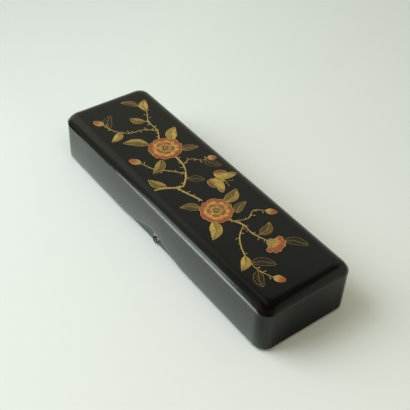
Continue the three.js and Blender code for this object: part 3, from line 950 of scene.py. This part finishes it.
def petal(R, R2, centre, theta, radius, half, r0=1.2, lift=0.0, h=0.16, notch=0.07, tone_in=0.9, tone_out=0.0, line=0.5,
          split=0.55, creases=5):
    """Fan-shaped petal from radius r0 to radius, turned to theta."""
    centre = np.array(centre, float)
    nu, nv = 20, 21
    a = np.linspace(-1, 1, nv)
    u = np.linspace(0, 1, nu)
    rho = radius * (1 - 0.15 * np.abs(a) ** 2.6 - notch * np.exp(-(a / 0.16) ** 2) + 0.018 * np.sin(a * 9 + theta * 3))
    spread = half * (0.50 + 0.62 * u - 0.12 * u ** 3)
    rr = r0 + (rho[None, :] - r0) * u[:, None]
    th = theta + a[None, :] * spread[:, None]
    xy = centre + np.dstack([rr * np.cos(th), rr * np.sin(th)])
    e = rim_distance(xy)
    H = lift + h * np.sqrt(smooth(e / 0.8)) + 0.02
    H = H + 0.10 * np.sin(np.pi * u)[:, None] * (1 - a ** 2)[None, :]
    blend = smooth((u[:, None] + 0.09 * np.cos(a * 2.2)[None, :] + 0.05 * np.sin(a * 7 + theta)[None, :] - split + 0.22) / 0.44)
    tone = tone_in + (tone_out - tone_in) * blend
    shade = 0.55 * smooth((0.9 - e) / 0.9) * (u[:, None] < 0.97)
    R.grid(xy, H, tone, shade, u[:, None] * (radius - r0) + 0 * a[None, :], a[None, :] + 0 * u[:, None])
    for q in np.linspace(-0.66, 0.66, creases):
        jj = int(round((q + 1) / 2 * (nv - 1)))
        i1 = nu - 3 if abs(q) < 0.1 else nu - 6
        stroke(R2, [xy[i, jj] for i in range(5, i1, 3)], 0.36, 0.16, h=0.04, base=lift + h + 0.05 + 0.06 * (1 - q * q),
               tone=0.7, ink=0.72, nv=3)
    if line:
        rim = [xy[i, 0] for i in range(5, nu, 3)] + [xy[-1, j] for j in range(0, nv, 2)] + [xy[i, -1] for i in range(nu - 2, 4, -3)]
        stroke(R2, rim, line, line, h=0.11, base=lift + h * 0.55, tone=1.0, ink=0.03, nv=5)


def dot(R, p, r, h=0.16, lift=0.0, tone=1.0, ink=0.0):
    p = np.array(p, float)
    blade(R, p - (r, 0), p + (r, 0), 2 * r, h=h, dome=h * 0.7, lift=lift, point=0.5, fat=1.0, tone=tone, ink=ink)


def stamens(R2, centre, r, lift, n=13):
    """Gold filaments and anthers round a dark heart."""
    centre = np.array(centre, float)
    dot(R2, centre, r * 0.98, h=0.10, lift=lift - 0.12, ink=0.95)
    for k in range(n):
        a = 2 * math.pi * k / n + 0.1 * math.sin(k * 2.3)
        rr = r * (0.86 + 0.12 * math.cos(k * 1.7))
        d = np.array([math.cos(a), math.sin(a)])
        stroke(R2, [centre + d * 1.3, centre + d * rr * 0.6, centre + d * rr], 0.38, 0.3, h=0.12, base=lift, ink=0.0, nv=5)
        dot(R2, centre + d * (rr + 0.1), 0.62, h=0.18, lift=lift + 0.02)
    dot(R2, centre, 1.15, h=0.2, lift=lift, tone=0.8)


def blossom(R, R2, centre, radius, turn=0.0):
    """Open flower seen from above."""
    for k in (0, 2, 4, 1, 3):
        petal(R, R2, centre, turn + 2 * math.pi * k / 5, radius * (0.97 + 0.03 * math.sin(k * 2.1)), 0.74,
              lift=0.04 * (k % 2), r0=radius * 0.16, split=0.74, tone_in=1.0)
    for k in (0, 2, 4, 1, 3):
        petal(R, R2, centre, turn + 0.62 + 2 * math.pi * k / 5, radius * 0.56, 0.70, lift=0.13 + 0.02 * (k % 2), h=0.12,
              r0=radius * 0.12, notch=0.06, split=0.62, tone_in=0.75, creases=3, line=0.42)
    stamens(R2, centre, radius * 0.25, 0.42)


def half_open(R, R2, base, theta, radius):
    """Flower seen from the side, opening towards theta, with its calyx."""
    base = np.array(base, float)
    d = np.array([math.cos(theta), math.sin(theta)])
    for off, rad, half, lift in ((0.80, 0.90, 0.42, 0.0), (-0.80, 0.90, 0.42, 0.0), (0.40, 1.0, 0.38, 0.05),
                                 (-0.40, 1.0, 0.38, 0.07), (0.0, 0.95, 0.42, 0.13)):
        petal(R, R2, base, theta + off, radius * rad, half, r0=radius * 0.10, lift=lift, tone_in=1.0, split=0.62, creases=3)
    for off in (-0.75, 0.75, 0.0):
        tip = base + radius * 0.42 * np.array([math.cos(theta + off), math.sin(theta + off)])
        blade(R2, base - d * 0.8, tip, radius * 0.30, h=0.2, lift=0.24, ink=0.35, fat=0.8, outline=0.4, out_ink=0.0)


def bud(R, R2, base, tip, width):
    base, tip = np.array(base, float), np.array(tip, float)
    blade(R, base, tip, width, h=0.22, dome=0.22, tone=0.75, tone_tip=0.0, point=0.7, fat=0.8, outline=0.42, R2=R2, out_ink=0.05)
    ax = tip - base
    n = np.array([-ax[1], ax[0]])
    for s in (-1, 1):
        blade(R2, base - ax * 0.06, base + ax * 0.45 + s * n * 0.26, width * 0.34, bend=-0.16 * s, h=0.18, dome=0.12, lift=0.26,
              ink=0.12)


def leaf(R, R2, base, tip, width, bend=0.1, kind="gold", stem=None):
    tone, ink, half, vein, line = {"gold": (1.0, 0.0, 0.30, 0.9, 0.05), "olive": (1.0, 0.36, 0.36, 0.95, 0.10),
                                   "dim": (1.0, 0.80, 0.12, 0.25, 0.45)}[kind]
    blade(R, base, tip, width, bend=bend, h=0.15, dome=0.12, tone=tone, ink=ink, groove=0.08, serrate=0.08, veins=6,
          outline=0.5 if kind != "dim" else 0.42, R2=R2, fat=0.80, point=0.95, half_dark=half, vein_ink=vein, out_ink=line)
    if stem is not None:
        base = np.array(base, float)
        stem = np.array(stem, float)
        inner = base + (np.array(tip, float) - base) * 0.08
        stroke(R2, [stem, (stem + base) / 2, base, inner], 0.8, 0.6, h=0.14, ink=line)


def ghost_leaf(R2, base, tip, width, bend=0.1):
    """Leaf drawn in thin dim lines only."""
    base, tip = np.array(base, float), np.array(tip, float)
    ax = tip - base
    L = np.linalg.norm(ax)
    perp = np.array([-ax[1], ax[0]]) / L
    c = spline([base, (base + tip) / 2 + perp * bend * L, tip], 30)
    t, nn = frame2(c)
    u = np.linspace(0, 1, 30)
    w = width / 2 * np.sin(np.pi * u ** 0.8) ** 0.9
    for s in (-1, 1):
        stroke(R2, (c + nn * (s * w)[:, None])[::3], 0.46, 0.40, h=0.07, ink=0.55, nv=5)
    stroke(R2, c[::4], 0.46, 0.3, h=0.07, ink=0.55, nv=5)
    for k in range(3, 25, 4):
        for s in (-1, 1):
            a = c[k]
            b = c[min(29, k + 5)] + nn[min(29, k + 5)] * s * w[min(29, k + 5)] * 0.8
            stroke(R2, [a, (a + b) / 2 + t[k] * 0.25, b], 0.34, 0.22, h=0.06, ink=0.60, nv=3)


def twig(R, pts, w0, w1, knots=0.25, seed=0, spurs=0, ink=0.0, h=0.2):
    c, t, nn = stroke(R, pts, w0, w1, h=h, knots=knots, seed=seed, ink=ink, step=0.9)
    rng = np.random.RandomState(seed + 50)
    n = len(c)
    for k in range(spurs):
        i = int((k + 0.6) / spurs * (n - 2))
        s = 1 if rng.rand() > 0.5 else -1
        d = nn[i] * s + t[i] * rng.uniform(0.2, 0.9)
        d /= np.linalg.norm(d)
        ln = rng.uniform(1.8, 3.8)
        a = c[i]
        stroke(R, [a, a + d * ln * 0.55, a + d * ln + t[i] * 0.2], max(0.6, w0 * 0.38), 0.42, h=0.13, ink=ink, nv=5)
        if rng.rand() > 0.4:
            dot(R, a + d * (ln + 0.2), 0.62, h=0.17, ink=ink)
    return c


def butterfly(R, R2, centre, heading, size):
    """Resting with open wings, head towards heading."""
    centre = np.array(centre, float)
    H = np.array([math.cos(heading), math.sin(heading)])
    N = np.array([-H[1], H[0]])

    def at(f, n):
        return centre + H * f * size + N * n * size

    def band(u, v):
        """Dark margin with a row of gold spots."""
        m = smooth((u - 0.76) / 0.08) * 0.85 + 0 * v
        spot = smooth((np.cos(v * 2 * math.pi * 4.5 + math.pi) - 0.1) * 2) * np.exp(-((u - 0.90) / 0.055) ** 2)
        return np.clip(m - spot, 0, 1)

    def fore(u, v):
        return 1.0 - 0.0 * u * v

    def hind(u, v):
        return 1.0 - 0.55 * smooth((u - 0.35) / 0.3) * smooth((v - 0.1) / 0.3) + 0 * v

    for s in (-1, 1):
        patch(R, R2, [at(0.04, s * 0.05), at(0.10, s * 0.36), at(0.08, s * 0.74)],
              [at(-0.20, s * 0.04), at(-0.46, s * 0.20), at(-0.58, s * 0.46)], bulge=0.16 * size, tone=hind, ink=band,
              ribs=4, outline=0.5)
        patch(R, R2, [at(0.16, s * 0.05), at(0.40, s * 0.34), at(0.56, s * 0.66), at(0.58, s * 0.94)],
              [at(-0.01, s * 0.05), at(0.04, s * 0.36), at(0.10, s * 0.62), at(0.20, s * 0.80)], bulge=0.05 * size,
              lift=0.12, tone=fore, ink=band, ribs=4, outline=0.55)
        stroke(R2, [at(0.26, s * 0.02), at(0.46, s * 0.10), at(0.62, s * 0.24)], 0.45, 0.36, h=0.1, ink=0.05)
        dot(R2, at(0.64, s * 0.26), 0.55)
    blade(R2, at(-0.36, 0), at(0.18, 0), 0.15 * size, h=0.2, dome=0.2, lift=0.12, point=0.6, fat=0.8, ink=0.5)
    dot(R2, at(0.22, 0), 0.075 * size, h=0.22, lift=0.14, ink=0.1)
    for k in range(5):
        f = -0.26 + 0.085 * k
        stroke(R2, [at(f, -0.05), at(f - 0.01, 0), at(f, 0.05)], 0.42, 0.42, h=0.08, base=0.40, ink=0.0, nv=3)


def makie_material(name, red, gold, olive, brown, metallic):
    m = Nodes(name)
    b = m.bsdf
    b.inputs["Metallic"].default_value = metallic
    tone, ink = m.attribute("tone"), m.attribute("ink")
    pu, pv = m.attribute("pu"), m.attribute("pv")
    grain = m.noise(5200.0, 2.0, 0.7)
    mottle = m.noise(520.0, 3.0, 0.6)
    wash = m.noise(170.0, 2.0, 0.5)
    comb = m.t.nodes.new("ShaderNodeCombineXYZ")
    m.t.links.new(m.math("MULTIPLY", pu, 0.30), comb.inputs[0])
    m.t.links.new(m.math("MULTIPLY", pv, 4.5), comb.inputs[1])
    streak = m.noise(1.6, 3.0, 0.65, vector=comb.outputs[0])
    # powder: the tone dithers between red and gold grain by grain
    k = m.math("ADD", tone, m.range(grain, 0.3, 0.7, -0.30, 0.30))
    k = m.math("ADD", k, m.range(streak, 0.3, 0.7, -0.26, 0.26))
    k = m.range(k, 0.12, 0.88, 0.0, 1.0, smoothstep=True)
    gold_c = m.mix(m.range(mottle, 0.3, 0.7, 0.0, 1.0), c4(*gold), c4(gold[0] * 0.74, gold[1] * 0.70, gold[2] * 0.66))
    thin = m.math("MULTIPLY", m.range(wash, 0.42, 0.66, 0.0, 0.62, smoothstep=True), m.range(streak, 0.35, 0.6, 0.35, 1.0))
    gold_c = m.mix(thin, gold_c, c4(*olive))
    red_c = m.mix(m.range(streak, 0.3, 0.7, 0.0, 1.0), c4(*red), c4(red[0] * 0.66, red[1] * 0.60, red[2] * 0.6))
    col = m.mix(k, red_c, gold_c)
    hatch = m.range(streak, 0.54, 0.64, 0.0, 0.30, smoothstep=True)
    d = m.math("ADD", ink, m.range(grain, 0.3, 0.7, -0.10, 0.10))
    d = m.math("ADD", d, hatch, clamp=True)
    col = m.mix(d, col, c4(*brown))
    # dark gaps between the grains
    gap = m.range(grain, 0.30, 0.44, 0.45, 0.0, smoothstep=True)
    col = m.mix(gap, col, c4(brown[0] * 0.5, brown[1] * 0.45, brown[2] * 0.4))
    m.t.links.new(col, b.inputs["Base Color"])
    m.t.links.new(m.range(grain, 0.3, 0.7, 0.50, 0.36), b.inputs["Roughness"])
    m.t.links.new(m.bump(grain, 0.00006, 0.5), b.inputs["Normal"])
    return m.mat


RED, GOLD = (0.54, 0.120, 0.056), (0.78, 0.555, 0.125)
OLIVE, BROWN = (0.25, 0.18, 0.065), (0.070, 0.045, 0.022)
MAT_MAKIE = makie_material("maki_e_finish", RED, GOLD, OLIVE, BROWN, 0.30)
MAT_LINES = makie_material("maki_e_line_finish", RED, (0.74, 0.55, 0.165), (0.36, 0.27, 0.10), BROWN, 0.40)

flowers, leaves, branches, lines, insect = Relief(), Relief(), Relief(), Relief(), Relief()

# branches: one stem rises from the front edge and forks left and right
twig(branches, [(-10, -36), (-7, -27), (-2, -19), (0, -12)], 2.7, 2.1, knots=0.30, seed=1, spurs=4, h=0.32)
twig(branches, [(0, -13), (-10, -3), (-24, 4), (-38, 5)], 2.0, 1.5, knots=0.30, seed=2, spurs=6, h=0.3)
twig(branches, [(-66, 7), (-78, 13), (-94, 14), (-108, 21), (-122, 20)], 1.5, 0.7, knots=0.28, seed=3, spurs=11, h=0.26)
twig(branches, [(-78, 13), (-86, 2), (-88, -10), (-98, -20), (-112, -24)], 1.1, 0.65, knots=0.28, seed=4, spurs=9)
twig(branches, [(-24, 4), (-27, 14), (-20, 22), (-20, 29)], 1.0, 0.6, knots=0.25, seed=5, spurs=5)
twig(branches, [(-12, -1), (-24, -11), (-32, -20), (-46, -26)], 1.1, 0.65, knots=0.25, seed=6, spurs=7)
twig(branches, [(-3, -19), (10, -15), (24, -10)], 2.0, 1.5, knots=0.30, seed=7, spurs=4, h=0.3)
twig(branches, [(54, -6), (66, 0), (78, 0), (92, 5)], 1.5, 1.0, knots=0.28, seed=8, spurs=7, h=0.26)
twig(branches, [(66, 0), (76, -12), (92, -20), (110, -22), (124, -17)], 1.1, 0.65, knots=0.28, seed=9, spurs=11)
twig(branches, [(58, -4), (62, 8), (57, 18), (63, 27)], 1.0, 0.6, knots=0.25, seed=10, spurs=5)

# leaves behind the flowers
for base, tip, width, bend, kind, stem_at in (
        ((-58, 16), (-74, 30), 10.5, 0.10, "gold", None), ((-64, -6), (-79, -24), 10.0, -0.12, "olive", None),
        ((-42, 15), (-37, 31), 9.0, 0.10, "dim", None), ((-40, -8), (-28, -25), 9.0, 0.10, "olive", None),
        ((35, 4), (27, 23), 10.5, -0.12, "olive", None), ((49, -18), (66, -31), 10.5, 0.12, "gold", None),
        ((31, -17), (20, -31), 9.0, -0.10, "dim", None), ((52, 4), (45, 20), 8.0, 0.12, "dim", None),
        ((-110, 22), (-126, 31), 8.5, 0.12, "gold", (-106, 20)), ((-120, 19), (-134, 8), 8.0, -0.12, "dim", (-118, 20)),
        ((-96, 11), (-108, 2), 8.5, 0.14, "olive", (-93, 14)), ((-94, -17), (-86, -31), 8.0, 0.12, "gold", (-92, -14)),
        ((94, -21), (105, -33), 8.0, 0.12, "gold", (91, -20)),
        ((82, 4), (75, 20), 9.0, -0.14, "dim", (81, 1)), ((-8, -25), (-24, -33), 8.5, 0.10, "olive", (-6, -26))):
    leaf(leaves, lines, base, tip, width, bend, kind, stem_at)
for args in (((-104, -23), (-122, -10), 8.5, 0.1), ((-20, 24), (-4, 33), 8.0, -0.1), ((102, -21), (116, -6), 8.5, 0.1), ((112, -22), (128, -30), 8.0, -0.1),
             ((98, 16), (114, 29), 8.5, 0.1), ((-6, -4), (4, 8), 7.5, 0.1)):
    ghost_leaf(lines, *args)

# flowers and buds
blossom(flowers, lines, (-52, 4), 16.0, turn=0.35)
blossom(flowers, lines, (40, -8), 15.0, turn=1.2)
half_open(flowers, lines, (92, 5), 0.35, 14.0)
bud(flowers, lines, (-112, -24), (-122, -29), 7.5)
bud(flowers, lines, (-20, 28), (-16, 35), 7.0)
bud(flowers, lines, (-46, -26), (-56, -32), 7.5)
bud(flowers, lines, (63, 26), (70, 33), 7.0)
bud(flowers, lines, (124, -17), (132, -11), 7.0)

butterfly(insect, lines, (10, 19), 0.5, 15.5)

for rel, name, mat, slot_name in ((flowers, "maki_e_flowers", MAT_MAKIE, "maki_e_red"),
                                  (leaves, "maki_e_leaves", MAT_MAKIE, "maki_e_gold"),
                                  (branches, "maki_e_branches", MAT_LINES, "maki_e_gold"),
                                  (insect, "maki_e_butterfly", MAT_MAKIE, "maki_e_gold"),
                                  (lines, "maki_e_lines", MAT_LINES, "maki_e_gold")):
    rel.build(name, mat)

# ======================================================================================
# Floor, light, camera
# ======================================================================================
floor = obj_from("floor", [(-4, -4, 0), (4, -4, 0), (4, 4, 0), (-4, 4, 0)], [(0, 1, 2, 3)], False)
fm = Nodes("floor_finish")
# painted shade: the pale floor is painted a little darker far off behind the left end
f_sep = fm.t.nodes.new("ShaderNodeSeparateXYZ")
fm.t.links.new(fm.coord.outputs["Object"], f_sep.inputs[0])
floor_painted_shade = fm.math("ADD", f_sep.outputs[0], fm.math("MULTIPLY", f_sep.outputs[1], 0.6))
floor_painted_shade = fm.math("MULTIPLY", fm.range(floor_painted_shade, -0.46, -0.18, 1.0, 0.0), fm.range(f_sep.outputs[1], -0.11, -0.03, 0.0, 1.0))
fm.t.links.new(fm.mix(floor_painted_shade, c4(0.79, 0.845, 0.775), c4(0.680, 0.727, 0.667)), fm.bsdf.inputs["Base Color"])
fm.bsdf.inputs["Roughness"].default_value = 0.75
fm.bsdf.inputs["Specular IOR Level"].default_value = 0.15
floor.data.materials.append(fm.mat)


def polar(az, el, d):
    a, e = math.radians(az), math.radians(el)
    return Vector((math.cos(a) * math.cos(e), math.sin(a) * math.cos(e), math.sin(e))) * d


def area(name, az, el, dist, sx, sy, power, colour, glossy=True):
    li = bpy.data.lights.new(name, "AREA")
    li.shape = "RECTANGLE"
    li.size, li.size_y = sx, sy
    li.energy = power
    li.color = colour
    ob = bpy.data.objects.new(name, li)
    bpy.context.scene.collection.objects.link(ob)
    ob.location = polar(az, el, dist)
    ob.rotation_euler = (-ob.location).to_track_quat("-Z", "Y").to_euler()
    ob.visible_glossy = glossy
    return ob


def lum_power(L, sx, sy):
    """Watts of a rectangular area light with radiance L."""
    return L * sx * sy * math.pi


# soft daylight from the upper left, a weak warm fill from the right and the bright ceiling
KEY, FILL, DOME = (1.4, 1.4), (0.8, 0.8), (2.6, 2.6)
area("key", -130, 44, 1.70, *KEY, lum_power(4.93, *KEY), (0.855, 0.890, 1.0), glossy=False)
area("fill", -15, 60, 1.30, *FILL, lum_power(1.98, *FILL), (1.0, 0.833, 0.743), glossy=False)
area("dome", 40, 86, 1.50, *DOME, lum_power(0.290, *DOME), (0.964, 1.0, 0.733), glossy=False)
# the window that the long shoulder mirrors: a low bright pane and a dimmer one above it
WIN_D = 1.9
area("window_low", -121.3, 0.8, WIN_D, 0.675, 0.19, lum_power(7.8, 0.675, 0.19), (0.89, 1.0, 0.95))
area("window", -123.2, 10.8, WIN_D, 0.38, 0.50, lum_power(2.9, 0.38, 0.50), (0.87, 1.0, 0.96))

world = bpy.data.worlds.new("room")
bpy.context.scene.world = world
world.use_nodes = True
wt = world.node_tree
wt.nodes.clear()
w_out = wt.nodes.new("ShaderNodeOutputWorld")
w_bg = wt.nodes.new("ShaderNodeBackground")
wt.links.new(w_bg.outputs[0], w_out.inputs[0])
w_co = wt.nodes.new("ShaderNodeTexCoord")
w_sep = wt.nodes.new("ShaderNodeSeparateXYZ")
wt.links.new(w_co.outputs["Generated"], w_sep.inputs[0])


def wmath(op, a, b=0.0, clamp=False):
    n = wt.nodes.new("ShaderNodeMath")
    n.operation = op
    n.use_clamp = clamp
    for sock, v in zip(n.inputs, (a, b)):
        if isinstance(v, bpy.types.NodeSocket):
            wt.links.new(v, sock)
        else:
            sock.default_value = v
    return n.outputs[0]


# walls, lighter towards the back left and towards the horizon, under a dark ceiling
dirx, diry = math.cos(math.radians(160)), math.sin(math.radians(160))
lean = wmath("ADD", wmath("MULTIPLY", w_sep.outputs[0], dirx), wmath("MULTIPLY", w_sep.outputs[1], diry))
wall = wmath("ADD", wmath("MULTIPLY", lean, 0.135), 0.170)
height = wmath("ADD", w_sep.outputs[2], wmath("MULTIPLY", w_sep.outputs[0], 0.09))
ceil = wt.nodes.new("ShaderNodeMapRange")
ceil.interpolation_type = "SMOOTHSTEP"
wt.links.new(height, ceil.inputs["Value"])
ceil.inputs["From Min"].default_value = math.sin(math.radians(40))
ceil.inputs["From Max"].default_value = math.sin(math.radians(57))
ceil.inputs["To Min"].default_value = 1.0
ceil.inputs["To Max"].default_value = 0.1
glow = wt.nodes.new("ShaderNodeMapRange")
wt.links.new(w_sep.outputs[2], glow.inputs["Value"])
glow.inputs["From Min"].default_value = 0.0
glow.inputs["From Max"].default_value = 0.74
glow.inputs["To Min"].default_value = 0.22
glow.inputs["To Max"].default_value = 0.0
# no glow low down at the front right
front = wmath("ADD", wmath("MULTIPLY", w_sep.outputs[0], math.cos(math.radians(-52))),
              wmath("MULTIPLY", w_sep.outputs[1], math.sin(math.radians(-52))))
shade = wt.nodes.new("ShaderNodeMapRange")
shade.interpolation_type = "SMOOTHSTEP"
wt.links.new(front, shade.inputs["Value"])
shade.inputs["From Min"].default_value = 0.35
shade.inputs["From Max"].default_value = 0.80
shade.inputs["To Min"].default_value = 1.0
shade.inputs["To Max"].default_value = 0.12
w_l = wmath("ADD", wmath("MULTIPLY", wall, ceil.outputs[0]), wmath("MULTIPLY", glow.outputs[0], shade.outputs[0]))
wt.links.new(w_l, w_bg.inputs["Strength"])
w_bg.inputs["Color"].default_value = (0.98, 0.985, 0.78, 1)

cam_data = bpy.data.cameras.new("camera")
cam = bpy.data.objects.new("camera", cam_data)
bpy.context.scene.collection.objects.link(cam)
cam_data.sensor_width = 36.0
cam_data.lens = 802.1 * 36.0 / 410.0
right = Vector((0.59615, 0.80173, 0.04283))
down = Vector((0.55723, -0.37476, -0.74098))
fwd = Vector((-0.57801, 0.46561, -0.67016))
rot = Matrix((right, -down, -fwd)).transposed()
cam.matrix_world = Matrix.Translation(Vector((0.41494, -0.32241, 0.49632))) @ rot.to_4x4()
cam_data.clip_start, cam_data.clip_end = 0.02, 50
bpy.context.scene.camera = cam
bpy.context.scene.view_settings.view_transform = "Standard"
bpy.context.scene.view_settings.look = "None"
